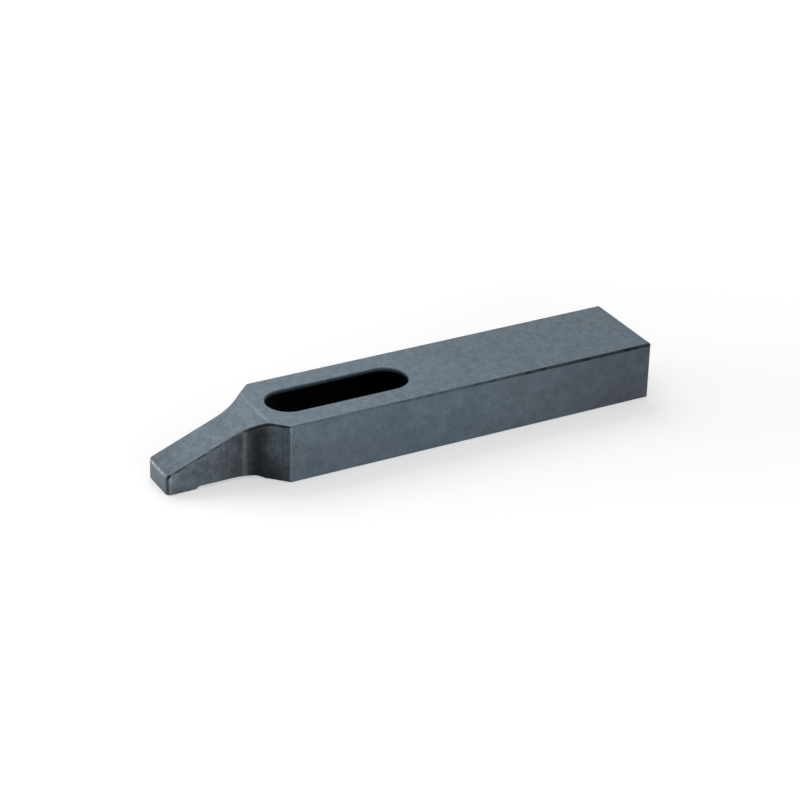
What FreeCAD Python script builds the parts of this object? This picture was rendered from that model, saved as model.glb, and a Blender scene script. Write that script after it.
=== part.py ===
import FreeCAD, Part

import math
import os

# Strap clamp: one bar of steel, milled all over and blackened. A stud stands through the long
# slot, the heel bears on a packing block, and the pad under the tip of the nose holds the work.
#
# Frame: Y runs along the bar from the nose (-Y) to the heel (+Y), X across it, Z up. The origin
# is in the middle of the bar's length and width, on the surface that it rests on.
# Sizes are in millimetres and degrees. A place along the bar is measured back from the tip.

# The bar
BAR_LENGTH = 200.0
BAR_WIDTH = 38.0
BAR_HEIGHT = 23.2

# The nose, in plan: parallel sides that run out into slanted shoulders through a hollow neck
NOSE_WIDTH = 16.8
NOSE_LENGTH = 44.7
SHOULDER_ANGLE = 45.0
NECK_RADIUS = 18.0
TIP_CORNER_RADIUS = 2.0
SHOULDER_CORNER_RADIUS = 1.0
HEEL_CORNER_RADIUS = 0.8

# The nose, from the side: the top slopes from a crease down to the tip
TIP_HEIGHT = 7.7
CREASE_FROM_TIP = 39.0
CREASE_RADIUS = 3.0

# The pad under the tip, and the relief behind it that keeps the nose off the work
PAD_LENGTH = 11.6
PAD_RAMP_LENGTH = 1.3
PAD_CORNER_RADIUS = 0.8
RELIEF_DEPTH = 1.0
RELIEF_END_FROM_TIP = 37.8
RUN_OUT_LENGTH = 2.6
RUN_OUT_RADIUS = 4.0

# The slot for the stud, with full-round ends
SLOT_WIDTH = 18.0
SLOT_LENGTH = 58.0
SLOT_FROM_TIP = 44.0
SLOT_EDGE_BREAK = 0.3

# The rounding of the sharp edges round the top and the bottom
TOP_EDGE_RADIUS = 0.6
BOTTOM_EDGE_RADIUS = 0.4

# Height of a unit normal: a wall's is under the first, and that of a face that looks up or
# down is over the second
WALL_TILT = 0.2
FACE_TILT = 0.5


def along(from_tip):
    """Y of a place that is measured back from the tip."""
    return from_tip - BAR_LENGTH / 2


def rounded_outline(corners):
    """Closed wire through corners, each a point and the radius that rounds it."""
    points = [point for point, radius in corners]
    arcs = []
    for index, (point, radius) in enumerate(corners):
        to_last = (points[index - 1] - point).normalize()
        to_next = (points[(index + 1) % len(points)] - point).normalize()
        half_angle = to_last.getAngle(to_next) / 2
        tangent = radius / math.tan(half_angle)
        reach = radius / math.sin(half_angle) - radius
        inward = (to_last + to_next).normalize()
        start = point + to_last * tangent
        end = point + to_next * tangent
        arcs.append((start, point + inward * reach, end, radius))
    edges = []
    for index, (start, middle, end, radius) in enumerate(arcs):
        last_end = arcs[index - 1][2]
        edges.append(Part.LineSegment(last_end, start).toShape())
        if radius > 0:
            edges.append(Part.Arc(start, middle, end).toShape())
    return Part.Wire(edges)


def plan_prism():
    """The bar's outline from above, as tall as the bar."""
    half_bar = BAR_WIDTH / 2
    half_nose = NOSE_WIDTH / 2
    shoulder_run = (half_bar - half_nose) / math.tan(math.radians(SHOULDER_ANGLE))
    right = [
        (half_nose, along(0), TIP_CORNER_RADIUS),
        (half_nose, along(NOSE_LENGTH - shoulder_run), NECK_RADIUS),
        (half_bar, along(NOSE_LENGTH), SHOULDER_CORNER_RADIUS),
        (half_bar, along(BAR_LENGTH), HEEL_CORNER_RADIUS),
    ]
    left = [(-x, y, radius) for x, y, radius in reversed(right)]
    corners = [(FreeCAD.Vector(x, y, 0), radius) for x, y, radius in right + left]
    face = Part.Face(rounded_outline(corners))
    return face.extrude(FreeCAD.Vector(0, 0, BAR_HEIGHT))


def side_prism():
    """The bar's outline from the side, as wide as the bar."""
    relief_start = PAD_LENGTH + PAD_RAMP_LENGTH
    run_out_start = RELIEF_END_FROM_TIP - RUN_OUT_LENGTH
    outline = [
        (0, 0, 0),
        (PAD_LENGTH, 0, PAD_CORNER_RADIUS),
        (relief_start, RELIEF_DEPTH, PAD_CORNER_RADIUS),
        (run_out_start, RELIEF_DEPTH, RUN_OUT_RADIUS),
        (RELIEF_END_FROM_TIP, 0, RUN_OUT_RADIUS),
        (BAR_LENGTH, 0, 0),
        (BAR_LENGTH, BAR_HEIGHT, 0),
        (CREASE_FROM_TIP, BAR_HEIGHT, CREASE_RADIUS),
        (0, TIP_HEIGHT, 0),
    ]
    near_x = -BAR_WIDTH / 2
    corners = [(FreeCAD.Vector(near_x, along(y), z), radius) for y, z, radius in outline]
    face = Part.Face(rounded_outline(corners))
    return face.extrude(FreeCAD.Vector(BAR_WIDTH, 0, 0))


def rim_edges(body, facing):
    """Sharp edges where a wall meets a face that looks up (facing 1) or down (facing -1)."""
    rim = []
    for edge in body.Edges:
        middle = edge.valueAt((edge.FirstParameter + edge.LastParameter) / 2)
        tilts = []
        for face in body.ancestorsOfType(edge, Part.Face):
            u, v = face.Surface.parameter(middle)
            tilts.append(face.normalAt(u, v).z * facing)
        if min(abs(tilt) for tilt in tilts) < WALL_TILT and max(tilts) > FACE_TILT:
            rim.append(edge)
    return rim


def slot_prism():
    """The slot, through the whole height, with a half circle at each end."""
    half_width = SLOT_WIDTH / 2
    front = along(SLOT_FROM_TIP)
    back = front + SLOT_LENGTH
    front_right = FreeCAD.Vector(half_width, front + half_width, 0)
    front_left = FreeCAD.Vector(-half_width, front + half_width, 0)
    back_right = FreeCAD.Vector(half_width, back - half_width, 0)
    back_left = FreeCAD.Vector(-half_width, back - half_width, 0)
    wire = Part.Wire([
        Part.LineSegment(front_right, back_right).toShape(),
        Part.Arc(back_right, FreeCAD.Vector(0, back, 0), back_left).toShape(),
        Part.LineSegment(back_left, front_left).toShape(),
        Part.Arc(front_left, FreeCAD.Vector(0, front, 0), front_right).toShape(),
    ])
    return Part.Face(wire).extrude(FreeCAD.Vector(0, 0, BAR_HEIGHT))


def clamp_bar():
    """The whole clamp, as one solid."""
    body = plan_prism().common(side_prism())
    body = body.makeFillet(TOP_EDGE_RADIUS, rim_edges(body, 1))
    body = body.makeFillet(BOTTOM_EDGE_RADIUS, rim_edges(body, -1))
    body = body.cut(slot_prism())
    # The outer rims are round by now, so the sharp ones left are the slot's two mouths
    mouths = rim_edges(body, 1) + rim_edges(body, -1)
    body = body.makeChamfer(SLOT_EDGE_BREAK, mouths)
    return body.Solids[0]


os.makedirs("parts", exist_ok=True)
clamp_bar().exportStep("parts/clamp_bar.step")
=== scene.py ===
import math

import bpy
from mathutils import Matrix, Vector

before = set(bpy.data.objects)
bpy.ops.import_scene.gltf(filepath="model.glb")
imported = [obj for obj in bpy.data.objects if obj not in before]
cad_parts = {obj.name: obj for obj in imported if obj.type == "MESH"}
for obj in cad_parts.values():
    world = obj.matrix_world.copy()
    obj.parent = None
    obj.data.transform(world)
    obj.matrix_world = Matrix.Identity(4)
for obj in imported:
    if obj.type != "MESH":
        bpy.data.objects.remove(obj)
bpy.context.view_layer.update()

# The camera, worked out from the bar's corners in the photograph
CAMERA_LENS = 116.48
CAMERA_SENSOR = 36.0
CAMERA_CLIP_START = 0.01
CAMERA_CLIP_END = 50.0
CAMERA_DISTANCE = 0.9792
CAMERA_AZIMUTH = 60.955
CAMERA_ELEVATION = 27.618
CAMERA_ROLL = 1.423
CAMERA_AIM = Vector((-0.0004, 0.0001, 0.0123))

# The studio
WHITE = (1.0, 1.0, 1.0, 1.0)
FLOOR_SIZE = 12.0
FLOOR_DROP = 0.0001
FLOOR_COLOUR = (0.88, 0.88, 0.88, 1.0)
FLOOR_ROUGHNESS = 0.9
GLOW_NEAR = 0.4
GLOW_FAR = 0.65
GLOW_NEAR_REACH = 0.12
GLOW_FAR_REACH = 0.45
WORLD_LEVEL = 0.4

# The steel, in linear colour
OXIDE_BLUE = (0.086, 0.118, 0.146, 1.0)
OXIDE_BROWN = (0.094, 0.108, 0.125, 1.0)
# Bare steel, for the worn tip's end and for the painted highlights
BARE_STEEL_AND_HIGHLIGHT = (0.36, 0.40, 0.44, 1.0)
STEEL_METALLIC = 0.85
STEEL_ROUGHNESS = 0.40
ROUGHNESS_SPREAD = 0.03

# The bar's shape, in millimetres, as it was built
MILLIMETRES_IN_METRE = 1000.0
TIP_Y = -100.0
BAR_HALF = 19.0
TOP_Z = 23.2
NOSE_HALF = 8.4
TIP_TOP_Z = 7.7
TOP_SLOPE = 0.3974
CREASE = 39.0
NECK_RADIUS = 18.0
NECK_ARC_START = 26.64
NECK_ARC_END = 39.37
SLOT_MIDDLE_Y = -27.0
SLOT_HALF_STRAIGHT = 20.0
SLOT_RADIUS = 9.0

# The upright part of the surface's normal, at most on a wall and at least on a face
WALL_TILT = 0.2
FACE_TILT = 0.4

# Where the colour, the painted shade and the painted highlights change, in millimetres back from
# the tip
NOSE_SIDE_START = 1.5
NOSE_SIDE_FULL = 2.5
RUN_IN_START = 20.0
RUN_IN_END = 30.0
NECK_HIGHLIGHT_MIDDLE = 30.6
HOLLOW_START = 31.6
HOLLOW_EDGE = 32.6
HOLLOW_DARKEST = 35.2
SHOULDER_START = 40.6
SHOULDER_END = 44.2
SIDE_START = 44.8
HEEL_SHADE_START = 130.0
HEEL_SHADE_END = 200.0

# Below, a pair goes from the start to the end of a change. In millimetres, a reach is back from
# the tip, a depth is down from the top and a height is up from the floor. A tone is a factor on
# the steel's own.

# The noise: how many spots it has to the millimetre along each axis, and how far it goes
NOISE_DETAIL = 2.0
NOISE_RANGE = (0.3, 0.7)
CLOUD_SPOTS = (0.12, 0.08, 0.15)
CLOUD_DETAIL = 3.0
CLOUD_CONTRAST = 0.07
SPOT_SPOTS = (0.3, 0.3, 0.3)
SPOT_CONTRAST = 0.08
FACE_SPOT_CONTRAST = 0.05
NOSE_SPOT_CONTRAST = 0.14
GRAIN_SPOTS = (1.2, 1.2, 1.2)
GRAIN_RANGE = (0.25, 0.75)
FACE_GRAIN_CONTRAST = 0.16
WALL_GRAIN_CONTRAST = 0.07
STREAK_SPOTS = (0.0, 0.9, 0.012)
STREAK_CONTRAST = 0.16
STREAK_FAINTEST = 0.2
FLECK_SPOTS = (0.7, 0.7, 0.7)
FLECK_RANGE = (0.4, 0.6)
FLECK_FAINTEST = 0.3
BLOTCH_SPOTS = (0.035, 0.03, 0.07)
BLOTCH_RANGE = (0.35, 0.65)

# A band is whole in the middle tenth of its width
BAND_CORE = 0.1

# The top: darker near the tip, with a faint painted highlight along the crease
TIP_SHADE_REACH = (3.0, 12.0)
TIP_SHADE_TONES = (0.85, 1.0)
ON_TOP_DEPTHS = (3.0, 1.0)
CREASE_HALF_WIDTH = 1.0
CREASE_TONE = 1.22

# The sides: painted shade towards the heel, the nose's side darker behind the tip, and a painted
# highlight just under the nose's rim
HEEL_SHADE_TONES = (1.08, 0.74)
NOSE_SHADE_REACH = (2.5, 6.0)
NOSE_SHADE_TONES = (1.0, 0.86)
UNDER_RIM_DEPTHS = (4.5, 1.8)
UNDER_RIM_REACH = (8.0, 26.0)
UNDER_RIM_TONES = (1.28, 1.0)

# The hollow neck's painted shade
RUN_IN_TONES = (1.0, 0.5)
HOLLOW_TONES = (1.0, 0.5)
SHOULDER_TONES = (1.0, 2.5)
VALLEY_DEPTHS = (1.0, 4.5)
VALLEY_SHARES = (0.2, 0.53)
LOW_DOWN_HEIGHTS = (12.5, 2.5)
SPREAD_REACH = (35.0, 39.5)
SPREAD_TONES = (1.0, 0.36)
SPREAD_END = 40.5
SPREAD_END_TONES = (1.0, 2.3)

# The painted dark reflection on the rims round the top, in millimetres inwards from the outline and
# down from the top
RIM_WIDTH = 0.3
RIM_DEPTH = 0.6
RIM_FADE = 0.3
NECK_RIM_END = 45.0
NECK_RIM_EXTRA = 0.15
NECK_RIM_STRENGTH = 0.8
NOSE_RIM_REACH = (46.0, 44.0)
NOSE_RIM_STRENGTH = 0.72
HEEL_RIM_EXTRA_REACH = (60.0, 200.0)
HEEL_RIM_EXTRA = 0.3
HEEL_RIM_REACH = (60.0, 170.0)
HEEL_RIM_STRENGTHS = (0.4, 0.95)
PATCH_RANGE = (0.38, 0.6)
PATCH_FAINTEST = 0.3
PATCHES_JOIN_REACH = (44.0, 170.0)
PATCHES_JOIN_STRENGTHS = (0.3, 0.78)

# The slot's wall, painted in shade below its mouth, in millimetres out from its arc and down from
# its mouth
SLOT_WALL_FADE = (0.25, 0.05)
SLOT_MOUTH_DEPTHS = (1.9, 0.3)
SLOT_MOUTH_TONES = (0.0, 0.8)
SLOT_METALLIC = 1.0
SLOT_EXTRA_ROUGHNESS = 0.2

# The black nick's painted shade and the painted dark reflection down the tip's corner, in
# millimetres from the middle line as well
NICK_SIDEWAYS = (7.6, 7.8)
NICK_REACH = (1.7, 1.4)
NICK_DEPTHS = (1.6, 1.3)
NICK_SHADE_TONE = 0.05
DARK_LINE_REACH = (1.15, 0.85)
DARK_LINE_ACROSS = (7.1, 7.5)
DARK_LINE_TONE = 0.45

# Where steel shows through on the worn tip's end, and where painted highlights lie on the edges,
# and how much of each
TIP_EDGE_REACH = (0.8, 0.4)
TIP_EDGE_DEPTHS = (1.3, 0.9)
TIP_EDGE_SIDEWAYS = (1.0, 7.0)
TIP_EDGE_SHARES = (1.0, 0.35)
TIP_WEAR_AND_HIGHLIGHT = 0.6
CORNER_LINE_MIDDLE = 1.5
CORNER_LINE_HALF_WIDTH = 0.9
CORNER_LINE_TOP_DEPTHS = (0.6, 1.2)
CORNER_LINE_LOW_DEPTHS = (2.0, 4.0)
CORNER_LINE_LOW_SHARES = (1.0, 0.3)
CORNER_HIGHLIGHT = 0.5
SHOULDER_LINE_MIDDLE = 44.7
SHOULDER_LINE_HALF_WIDTH = 0.5
SHOULDER_LINE_DEPTHS = (3.5, 2.0)
SHOULDER_LINE_SHARES = (1.0, 2.5)
SHOULDER_HIGHLIGHT = 0.12
NECK_HIGHLIGHT_HALF_WIDTH = 1.3
NECK_HIGHLIGHT = 0.1

# How much of the brown oxide there is
BROWN_SHARES = (0.1, 0.5)
NOSE_BROWN_FULL = 36.2
NOSE_BROWN_SHARE = 0.4
HEEL_BROWN_HEIGHTS = (16.0, 4.0)
HEEL_BROWN_SHARE = 0.7
TIP_BROWN_START = 0.5
TIP_BROWN_SHARE = 0.3


def toward(azimuth, elevation):
    """Unit vector from the object towards a place; azimuth 0 is at -Y and 90 at +X."""
    a = math.radians(azimuth)
    e = math.radians(elevation)
    return Vector((math.sin(a) * math.cos(e), -math.cos(a) * math.cos(e), math.sin(e)))


def add_camera():
    data = bpy.data.cameras.new("photo_camera")
    data.lens = CAMERA_LENS
    data.sensor_width = CAMERA_SENSOR
    data.clip_start = CAMERA_CLIP_START
    data.clip_end = CAMERA_CLIP_END
    camera = bpy.data.objects.new("photo_camera", data)
    bpy.context.scene.collection.objects.link(camera)
    back = toward(CAMERA_AZIMUTH, CAMERA_ELEVATION)
    camera.location = CAMERA_AIM + back * CAMERA_DISTANCE
    upright = (-back).to_track_quat("-Z", "Y").to_matrix().to_4x4()
    camera.rotation_euler = upright.to_euler()
    camera.rotation_euler.rotate_axis("Z", math.radians(CAMERA_ROLL))
    bpy.context.scene.camera = camera


def add_card(name, azimuth, elevation, distance, width, height, power):
    """Soft rectangular lamp that faces the clamp, as wide and as high as given, in metres."""
    data = bpy.data.lights.new(name, "AREA")
    data.shape = "RECTANGLE"
    data.size = width
    data.size_y = height
    data.energy = power
    lamp = bpy.data.objects.new(name, data)
    bpy.context.scene.collection.objects.link(lamp)
    direction = toward(azimuth, elevation)
    lamp.location = direction * distance
    lamp.rotation_euler = (-direction).to_track_quat("-Z", "Y").to_euler()
    lamp.visible_camera = False


def add_math(tree, operation, first, second=0.0):
    """Math node on two values, each a socket or a number."""
    node = tree.nodes.new("ShaderNodeMath")
    node.operation = operation
    for socket, value in zip(node.inputs, (first, second)):
        if isinstance(value, (int, float)):
            socket.default_value = value
        else:
            tree.links.new(value, socket)
    return node.outputs[0]


def add_fade(tree, value, start, end, low=0.0, high=1.0):
    """Smooth change from low to high as the value goes from start to end."""
    node = tree.nodes.new("ShaderNodeMapRange")
    node.interpolation_type = "SMOOTHSTEP"
    node.inputs["From Min"].default_value = start
    node.inputs["From Max"].default_value = end
    node.inputs["To Min"].default_value = low
    node.inputs["To Max"].default_value = high
    tree.links.new(value, node.inputs["Value"])
    return node.outputs["Result"]


def add_seen(tree):
    """1 for what is seen, straight, in the metal or through glass, and 0 for what only lights."""
    path = tree.nodes.new("ShaderNodeLightPath")
    seen = add_math(tree, "MAXIMUM", path.outputs["Is Camera Ray"], path.outputs["Is Glossy Ray"])
    return add_math(tree, "MAXIMUM", seen, path.outputs["Is Transmission Ray"])


def add_floor():
    bpy.ops.object.select_all(action="DESELECT")
    bpy.ops.mesh.primitive_plane_add(size=FLOOR_SIZE, location=(0, 0, -FLOOR_DROP))
    floor = bpy.context.object
    floor.name = "studio_floor"
    material = bpy.data.materials.new("studio_floor")
    material.use_nodes = True
    tree = material.node_tree
    shader = tree.nodes["Principled BSDF"]
    shader.inputs["Base Color"].default_value = FLOOR_COLOUR
    shader.inputs["Roughness"].default_value = FLOOR_ROUGHNESS
    shader.inputs["Specular IOR Level"].default_value = 0.0
    shader.inputs["Emission Color"].default_value = WHITE

    # Lifted to white where it is seen, and least beside the clamp, where its shadow falls
    texture = tree.nodes.new("ShaderNodeTexCoord")
    distance = tree.nodes.new("ShaderNodeVectorMath")
    distance.operation = "LENGTH"
    tree.links.new(texture.outputs["Object"], distance.inputs[0])
    glow = add_fade(
        tree, distance.outputs["Value"], GLOW_NEAR_REACH, GLOW_FAR_REACH, GLOW_NEAR, GLOW_FAR)
    strength = add_math(tree, "MULTIPLY", glow, add_seen(tree))
    tree.links.new(strength, shader.inputs["Emission Strength"])
    floor.data.materials.append(material)


def add_world():
    world = bpy.data.worlds.new("studio")
    world.use_nodes = True
    bpy.context.scene.world = world
    tree = world.node_tree
    background = tree.nodes["Background"]
    background.inputs["Color"].default_value = WHITE
    strength = add_math(tree, "MAXIMUM", add_seen(tree), WORLD_LEVEL)
    tree.links.new(strength, background.inputs["Strength"])


def add_clamp(tree, value, low, high):
    """The value, kept between low and high."""
    node = tree.nodes.new("ShaderNodeClamp")
    node.inputs["Min"].default_value = low
    node.inputs["Max"].default_value = high
    tree.links.new(value, node.inputs["Value"])
    return node.outputs["Result"]


def add_noise(tree, place, spots, detail=NOISE_DETAIL):
    """Noise from 0 to 1, with that many spots to the millimetre along each axis."""
    mapping = tree.nodes.new("ShaderNodeMapping")
    mapping.inputs["Scale"].default_value = spots
    tree.links.new(place, mapping.inputs["Vector"])
    noise = tree.nodes.new("ShaderNodeTexNoise")
    noise.inputs["Scale"].default_value = 1.0
    noise.inputs["Detail"].default_value = detail
    tree.links.new(mapping.outputs["Vector"], noise.inputs["Vector"])
    return noise.outputs["Fac"]


def add_unevenness(tree, noise, contrast, noise_range=NOISE_RANGE):
    """Factor that rises with the noise, from 1 less the contrast to 1 and the contrast."""
    return add_fade(tree, noise, *noise_range, 1.0 - contrast, 1.0 + contrast)


def add_share(tree, tone, factor, share):
    """The tone times the factor, where share is 1, and the tone alone, where it is 0."""
    change = add_math(tree, "MULTIPLY", add_math(tree, "SUBTRACT", factor, 1.0), share)
    return add_math(tree, "MULTIPLY", tone, add_math(tree, "ADD", change, 1.0))


def add_mix(tree, amount, first, second):
    """Colour between two others, each a socket or a colour."""
    node = tree.nodes.new("ShaderNodeMix")
    node.data_type = "RGBA"
    tree.links.new(amount, node.inputs["Factor"])

    # The node has sockets A, B and Result for every type, and these are the ones for colours
    first_socket, second_socket, result = node.inputs[6], node.inputs[7], node.outputs[2]
    for socket, value in ((first_socket, first), (second_socket, second)):
        if isinstance(value, tuple):
            socket.default_value = value
        else:
            tree.links.new(value, socket)
    return result


def multiply(tree, first, *others):
    """Product of two or more values."""
    product = first
    for value in others:
        product = add_math(tree, "MULTIPLY", product, value)
    return product


def add_band(tree, value, middle, half_width):
    """1 at the middle of a band, and 0 beyond half its width on each side."""
    away = add_math(tree, "ABSOLUTE", add_math(tree, "SUBTRACT", value, middle))
    return add_fade(tree, away, half_width, half_width * BAND_CORE)


def find_place(tree):
    """Values for a place on the bar in millimetres, and for which way the surface faces there."""
    texture = tree.nodes.new("ShaderNodeTexCoord")
    scale = tree.nodes.new("ShaderNodeVectorMath")
    scale.operation = "SCALE"
    scale.inputs["Scale"].default_value = MILLIMETRES_IN_METRE
    tree.links.new(texture.outputs["Object"], scale.inputs[0])
    place = scale.outputs[0]
    split = tree.nodes.new("ShaderNodeSeparateXYZ")
    tree.links.new(place, split.inputs[0])
    facing = tree.nodes.new("ShaderNodeSeparateXYZ")
    tree.links.new(texture.outputs["Normal"], facing.inputs[0])
    tilt = add_math(tree, "ABSOLUTE", facing.outputs["Z"])
    across = add_math(tree, "ABSOLUTE", split.outputs["X"])
    along = split.outputs["Y"]
    height = split.outputs["Z"]
    from_tip = add_math(tree, "SUBTRACT", along, TIP_Y)

    # Half the bar's width there: the nose, then the hollow neck's arc, the shoulder and the side
    into_arc = add_math(tree, "SUBTRACT", from_tip, NECK_ARC_START)
    into_arc = add_clamp(tree, into_arc, 0.0, NECK_ARC_END - NECK_ARC_START)
    arc_squared = add_math(tree, "SUBTRACT", NECK_RADIUS ** 2, multiply(tree, into_arc, into_arc))
    arc_reach = add_math(tree, "SQRT", arc_squared)
    half_neck = add_math(tree, "SUBTRACT", NOSE_HALF + NECK_RADIUS, arc_reach)
    past_arc = add_math(tree, "MAXIMUM", add_math(tree, "SUBTRACT", from_tip, NECK_ARC_END), 0.0)
    half_width = add_math(tree, "MINIMUM", add_math(tree, "ADD", half_neck, past_arc), BAR_HALF)

    # The top there: the nose's slope up to the crease, then the flat
    slope_top = add_math(tree, "ADD", multiply(tree, from_tip, TOP_SLOPE), TIP_TOP_Z)
    top = add_math(tree, "MINIMUM", slope_top, TOP_Z)

    return {
        "place": place,
        "sideways": split.outputs["X"],
        "across": across,
        "along": along,
        "height": height,
        "from_tip": from_tip,
        "from_outline": add_math(tree, "SUBTRACT", half_width, across),
        "below_top": add_math(tree, "SUBTRACT", top, height),
        "wall": add_fade(tree, tilt, FACE_TILT, WALL_TILT),
        "face": add_fade(tree, tilt, WALL_TILT, FACE_TILT),
        "clouds": add_noise(tree, place, CLOUD_SPOTS, CLOUD_DETAIL),
        "spots": add_noise(tree, place, SPOT_SPOTS),
    }


def mottle_with_crease_highlight(tree, spot):
    """The oxide's own unevenness: clouds, spots and a fine grain, which is finer on the sides; the
    top darker near the tip; and a painted highlight along the crease.
    """
    grain = add_noise(tree, spot["place"], GRAIN_SPOTS)
    clouds = add_unevenness(tree, spot["clouds"], CLOUD_CONTRAST)
    tone = multiply(tree, clouds, add_unevenness(tree, spot["spots"], SPOT_CONTRAST))
    face_grain = add_unevenness(tree, grain, FACE_GRAIN_CONTRAST, GRAIN_RANGE)
    tone = add_share(tree, tone, face_grain, spot["face"])
    face_spots = add_unevenness(tree, spot["spots"], FACE_SPOT_CONTRAST)
    tone = add_share(tree, tone, face_spots, spot["face"])
    wall_grain = add_unevenness(tree, grain, WALL_GRAIN_CONTRAST, GRAIN_RANGE)
    tone = add_share(tree, tone, wall_grain, spot["wall"])

    # The top is darker near the tip, and has a painted highlight along the crease
    tip_shade = add_fade(tree, spot["from_tip"], *TIP_SHADE_REACH, *TIP_SHADE_TONES)
    tone = add_share(tree, tone, tip_shade, spot["face"])
    on_top = add_fade(tree, spot["below_top"], *ON_TOP_DEPTHS)
    crease = add_band(tree, spot["from_tip"], CREASE, CREASE_HALF_WIDTH)
    return add_share(tree, tone, CREASE_TONE, multiply(tree, spot["face"], on_top, crease))


def shade_neck(tree, spot, tone, nose_side):
    """Painted shade in the hollow: it begins with a clear edge and is darkest halfway, least so
    right under the rim.
    """
    from_tip = spot["from_tip"]
    run_in = add_fade(tree, from_tip, RUN_IN_START, RUN_IN_END, *RUN_IN_TONES)
    hollow = add_fade(tree, from_tip, HOLLOW_START, HOLLOW_EDGE, *HOLLOW_TONES)
    shoulder = add_fade(tree, from_tip, HOLLOW_DARKEST, SHOULDER_START, *SHOULDER_TONES)
    valley = multiply(
        tree,
        add_fade(tree, from_tip, HOLLOW_EDGE, HOLLOW_DARKEST),
        add_fade(tree, from_tip, SHOULDER_START, HOLLOW_DARKEST),
        add_fade(tree, spot["below_top"], *VALLEY_DEPTHS, *VALLEY_SHARES))
    neck = multiply(tree, run_in, hollow, shoulder, add_math(tree, "SUBTRACT", 1.0, valley))
    tone = add_share(tree, tone, neck, nose_side)

    # Low down the painted shade spreads over the shoulder
    low_down = add_fade(tree, spot["height"], *LOW_DOWN_HEIGHTS)
    spread = multiply(
        tree,
        add_fade(tree, from_tip, *SPREAD_REACH, *SPREAD_TONES),
        add_fade(tree, from_tip, SPREAD_END, SHOULDER_END, *SPREAD_END_TONES))
    return add_share(tree, tone, spread, multiply(tree, nose_side, low_down))


def shade_sides(tree, spot, tone):
    """Painted shade on the side towards the heel and in the neck; the nose's side also darkens from
    behind the tip, and has a painted highlight just under its rim.
    """
    from_tip = spot["from_tip"]
    # Painted shade: the sides darken towards the heel
    heel_shade = add_fade(tree, from_tip, HEEL_SHADE_START, HEEL_SHADE_END, *HEEL_SHADE_TONES)
    tone = add_share(tree, tone, heel_shade, spot["wall"])
    past_tip = add_fade(tree, from_tip, NOSE_SIDE_START, NOSE_SIDE_FULL)
    before_side = add_fade(tree, from_tip, SIDE_START, SHOULDER_END)
    nose_side = multiply(tree, spot["wall"], past_tip, before_side)
    nose_shade = add_fade(tree, from_tip, *NOSE_SHADE_REACH, *NOSE_SHADE_TONES)
    tone = add_share(tree, tone, nose_shade, nose_side)
    # Painted highlight on the nose's side just under its rim, strongest nearest the tip
    under_rim = add_fade(tree, spot["below_top"], *UNDER_RIM_DEPTHS)
    lighter = add_fade(tree, from_tip, *UNDER_RIM_REACH, *UNDER_RIM_TONES)
    tone = add_share(tree, tone, lighter, multiply(tree, nose_side, under_rim))
    nose_spots = add_unevenness(tree, spot["spots"], NOSE_SPOT_CONTRAST)
    tone = add_share(tree, tone, nose_spots, nose_side)
    tone = shade_neck(tree, spot, tone, nose_side)

    # Faint upright lines from the cutter, strongest where the neck begins
    streaks = add_noise(tree, spot["place"], STREAK_SPOTS)
    streak_tone = add_unevenness(tree, streaks, STREAK_CONTRAST)
    at_neck = add_fade(tree, from_tip, RUN_IN_START, RUN_IN_END, STREAK_FAINTEST, 1.0)
    return add_share(tree, tone, streak_tone, multiply(tree, nose_side, at_neck))


def darken_rims(tree, spot, tone):
    """Painted dark reflections on the rounded rims: patchy on the nose, bold on the neck, bolder
    again at the heel.
    """
    from_tip = spot["from_tip"]
    on_neck = multiply(
        tree,
        add_fade(tree, from_tip, NECK_HIGHLIGHT_MIDDLE, HOLLOW_EDGE),
        add_fade(tree, from_tip, NECK_RIM_END, SHOULDER_END))
    wider = add_fade(tree, from_tip, *HEEL_RIM_EXTRA_REACH, 0.0, HEEL_RIM_EXTRA)
    inwards = add_math(tree, "SUBTRACT", spot["from_outline"], wider)
    thicker = add_math(tree, "ADD", multiply(tree, on_neck, NECK_RIM_EXTRA), wider)
    depth = add_math(tree, "SUBTRACT", spot["below_top"], thicker)
    rim = multiply(
        tree,
        add_fade(tree, inwards, RIM_WIDTH + RIM_FADE, RIM_WIDTH),
        add_fade(tree, depth, RIM_DEPTH + RIM_FADE, RIM_DEPTH))

    # The painted dark patches are where the spots are, and they join up towards the heel
    patches = add_fade(tree, spot["spots"], *PATCH_RANGE, PATCH_FAINTEST, 1.0)
    joined = add_fade(tree, from_tip, *PATCHES_JOIN_REACH, *PATCHES_JOIN_STRENGTHS)
    patchy = add_math(tree, "MAXIMUM", patches, joined)
    to_heel = add_fade(tree, from_tip, *HEEL_RIM_REACH, *HEEL_RIM_STRENGTHS)
    on_nose = add_fade(tree, from_tip, *NOSE_RIM_REACH, 0.0, NOSE_RIM_STRENGTH)
    along_rim = multiply(tree, patchy, add_math(tree, "MAXIMUM", to_heel, on_nose))
    neck_rim = multiply(tree, on_neck, NECK_RIM_STRENGTH)
    strength = add_math(tree, "MAXIMUM", along_rim, neck_rim)
    return add_share(tree, tone, add_math(tree, "SUBTRACT", 1.0, strength), rim)


def darken_tip_corners(tree, spot, tone):
    """A painted dark reflection runs down the front of each of the tip's corners."""
    line = multiply(
        tree,
        spot["wall"],
        add_fade(tree, spot["from_tip"], *DARK_LINE_REACH),
        add_fade(tree, spot["across"], *DARK_LINE_ACROSS))
    return add_share(tree, tone, DARK_LINE_TONE, line)


def find_nick_shade(tree, spot):
    """1 at the black nick on top of the tip's right-hand corner, where its shade is painted."""
    return multiply(
        tree,
        add_fade(tree, spot["sideways"], *NICK_SIDEWAYS),
        add_fade(tree, spot["from_tip"], *NICK_REACH),
        add_fade(tree, spot["below_top"], *NICK_DEPTHS))


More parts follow.
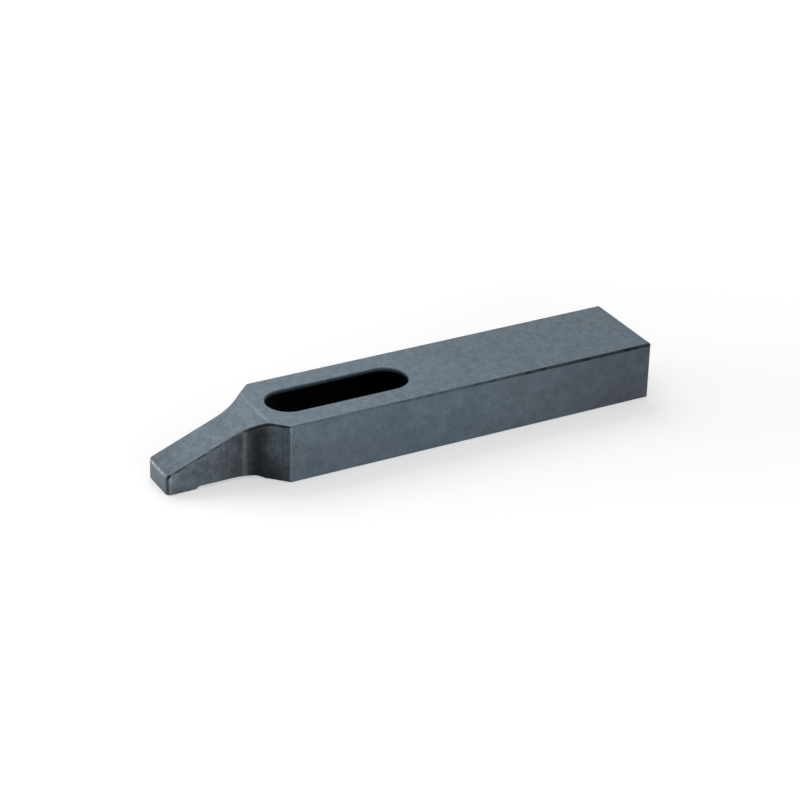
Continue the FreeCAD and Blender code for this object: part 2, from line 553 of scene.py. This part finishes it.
def find_slot_wall(tree, spot):
    """1 on the slot's walls and 0 outside it."""
    from_middle = add_math(tree, "SUBTRACT", spot["along"], SLOT_MIDDLE_Y)
    from_middle = add_math(tree, "ABSOLUTE", from_middle)
    past_straight = add_math(tree, "SUBTRACT", from_middle, SLOT_HALF_STRAIGHT)
    past_straight = add_math(tree, "MAXIMUM", past_straight, 0.0)
    across_squared = multiply(tree, spot["across"], spot["across"])
    past_squared = multiply(tree, past_straight, past_straight)
    from_arc = add_math(tree, "SQRT", add_math(tree, "ADD", across_squared, past_squared))
    outer, inner = SLOT_WALL_FADE
    return add_fade(tree, from_arc, SLOT_RADIUS + outer, SLOT_RADIUS + inner)


def find_wear_and_highlights(tree, spot, nick_shade):
    """How far steel shows through, with painted highlights: on the tip's end, worn as well, and on
    its corners, the shoulders and the necks.
    """
    from_tip = spot["from_tip"]
    flecks = add_noise(tree, spot["place"], FLECK_SPOTS)
    # Worn steel along the tip's top edge, with a painted highlight on it
    tip_end = multiply(
        tree,
        add_fade(tree, from_tip, *TIP_EDGE_REACH),
        add_fade(tree, spot["below_top"], *TIP_EDGE_DEPTHS),
        add_fade(tree, flecks, *FLECK_RANGE, FLECK_FAINTEST, 1.0),
        add_fade(tree, spot["sideways"], *TIP_EDGE_SIDEWAYS, *TIP_EDGE_SHARES),
        add_math(tree, "SUBTRACT", 1.0, nick_shade))
    # Painted highlight down the front of the tip's corners
    corner_line = multiply(
        tree,
        spot["wall"],
        add_band(tree, from_tip, CORNER_LINE_MIDDLE, CORNER_LINE_HALF_WIDTH),
        add_fade(tree, spot["below_top"], *CORNER_LINE_TOP_DEPTHS),
        add_fade(tree, spot["below_top"], *CORNER_LINE_LOW_DEPTHS, *CORNER_LINE_LOW_SHARES))
    # Painted highlight on the upright edge where the shoulder meets the side
    shoulder_line = multiply(
        tree,
        spot["wall"],
        add_band(tree, from_tip, SHOULDER_LINE_MIDDLE, SHOULDER_LINE_HALF_WIDTH),
        add_fade(tree, spot["below_top"], *SHOULDER_LINE_DEPTHS, *SHOULDER_LINE_SHARES))
    # Painted highlight: an upright light line where the neck begins
    neck_highlight_band = add_band(tree, from_tip, NECK_HIGHLIGHT_MIDDLE, NECK_HIGHLIGHT_HALF_WIDTH)
    neck_line = multiply(tree, spot["wall"], neck_highlight_band)

    wear_and_highlights = multiply(tree, tip_end, TIP_WEAR_AND_HIGHLIGHT)
    wear_and_highlights = add_math(tree, "ADD", wear_and_highlights, multiply(tree, corner_line, CORNER_HIGHLIGHT))
    wear_and_highlights = add_math(tree, "ADD", wear_and_highlights, multiply(tree, shoulder_line, SHOULDER_HIGHLIGHT))
    return add_math(tree, "ADD", wear_and_highlights, multiply(tree, neck_line, NECK_HIGHLIGHT))


def find_brown(tree, spot):
    """How brown the oxide is: bluest on the top and side, browner on the nose and low heel."""
    from_tip = spot["from_tip"]
    blotches = add_noise(tree, spot["place"], BLOTCH_SPOTS)
    brown = add_fade(tree, blotches, *BLOTCH_RANGE, *BROWN_SHARES)
    nose_brown = add_fade(tree, from_tip, SIDE_START, NOSE_BROWN_FULL, 0.0, NOSE_BROWN_SHARE)
    heel_brown = multiply(
        tree,
        add_fade(tree, from_tip, HEEL_SHADE_START, HEEL_SHADE_END, 0.0, HEEL_BROWN_SHARE),
        add_fade(tree, spot["height"], *HEEL_BROWN_HEIGHTS))
    brown = add_math(tree, "ADD", add_math(tree, "ADD", brown, nose_brown), heel_brown)
    past_tip = add_fade(tree, from_tip, TIP_BROWN_START, NOSE_SIDE_FULL, TIP_BROWN_SHARE, 1.0)
    brown = multiply(tree, brown, spot["wall"], past_tip)
    return add_math(tree, "MAXIMUM", brown, nose_brown)


def blackened_steel():
    material = bpy.data.materials.new("black_oxide_steel")
    material.use_nodes = True
    tree = material.node_tree
    shader = tree.nodes["Principled BSDF"]
    spot = find_place(tree)
    nick_shade = find_nick_shade(tree, spot)
    slot_wall = find_slot_wall(tree, spot)

    tone = mottle_with_crease_highlight(tree, spot)
    tone = shade_sides(tree, spot, tone)
    tone = darken_rims(tree, spot, tone)
    tone = darken_tip_corners(tree, spot, tone)
    # Painted shade: the nick on top of the tip's corner is near-black
    tone = add_share(tree, tone, NICK_SHADE_TONE, nick_shade)

    # Painted shade: the slot's walls are black below its mouth
    lowest, highest = SLOT_MOUTH_DEPTHS
    mouth = add_fade(tree, spot["height"], TOP_Z - lowest, TOP_Z - highest, *SLOT_MOUTH_TONES)
    tone = add_share(tree, tone, mouth, slot_wall)

    oxide = add_mix(tree, find_brown(tree, spot), OXIDE_BLUE, OXIDE_BROWN)
    toned = tree.nodes.new("ShaderNodeVectorMath")
    toned.operation = "SCALE"
    tree.links.new(oxide, toned.inputs[0])
    tree.links.new(tone, toned.inputs["Scale"])
    colour = add_mix(tree, find_wear_and_highlights(tree, spot, nick_shade), toned.outputs[0], BARE_STEEL_AND_HIGHLIGHT)
    tree.links.new(colour, shader.inputs["Base Color"])

    smoothest = STEEL_ROUGHNESS - ROUGHNESS_SPREAD
    roughest = STEEL_ROUGHNESS + ROUGHNESS_SPREAD
    roughness = add_fade(tree, spot["clouds"], *NOISE_RANGE, smoothest, roughest)
    slot_extra = multiply(tree, slot_wall, SLOT_EXTRA_ROUGHNESS)
    roughness = add_math(tree, "ADD", roughness, slot_extra)
    tree.links.new(roughness, shader.inputs["Roughness"])
    metallic = add_fade(tree, slot_wall, 0.0, 1.0, STEEL_METALLIC, SLOT_METALLIC)
    tree.links.new(metallic, shader.inputs["Metallic"])
    return material


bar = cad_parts["clamp_bar"]
bar.data.materials.clear()
bar.data.materials.append(blackened_steel())
add_camera()
add_floor()
add_world()
add_card(
    "card_right",
    azimuth=85, elevation=14, distance=0.42, width=0.3, height=0.16, power=0.57)
add_card(
    "card_front_left",
    azimuth=322, elevation=12, distance=0.6, width=0.45, height=0.22, power=1.15)
add_card(
    "card_left_high",
    azimuth=270, elevation=52, distance=0.6, width=0.5, height=0.4, power=0.95)
bpy.context.scene.view_settings.view_transform = "Standard"
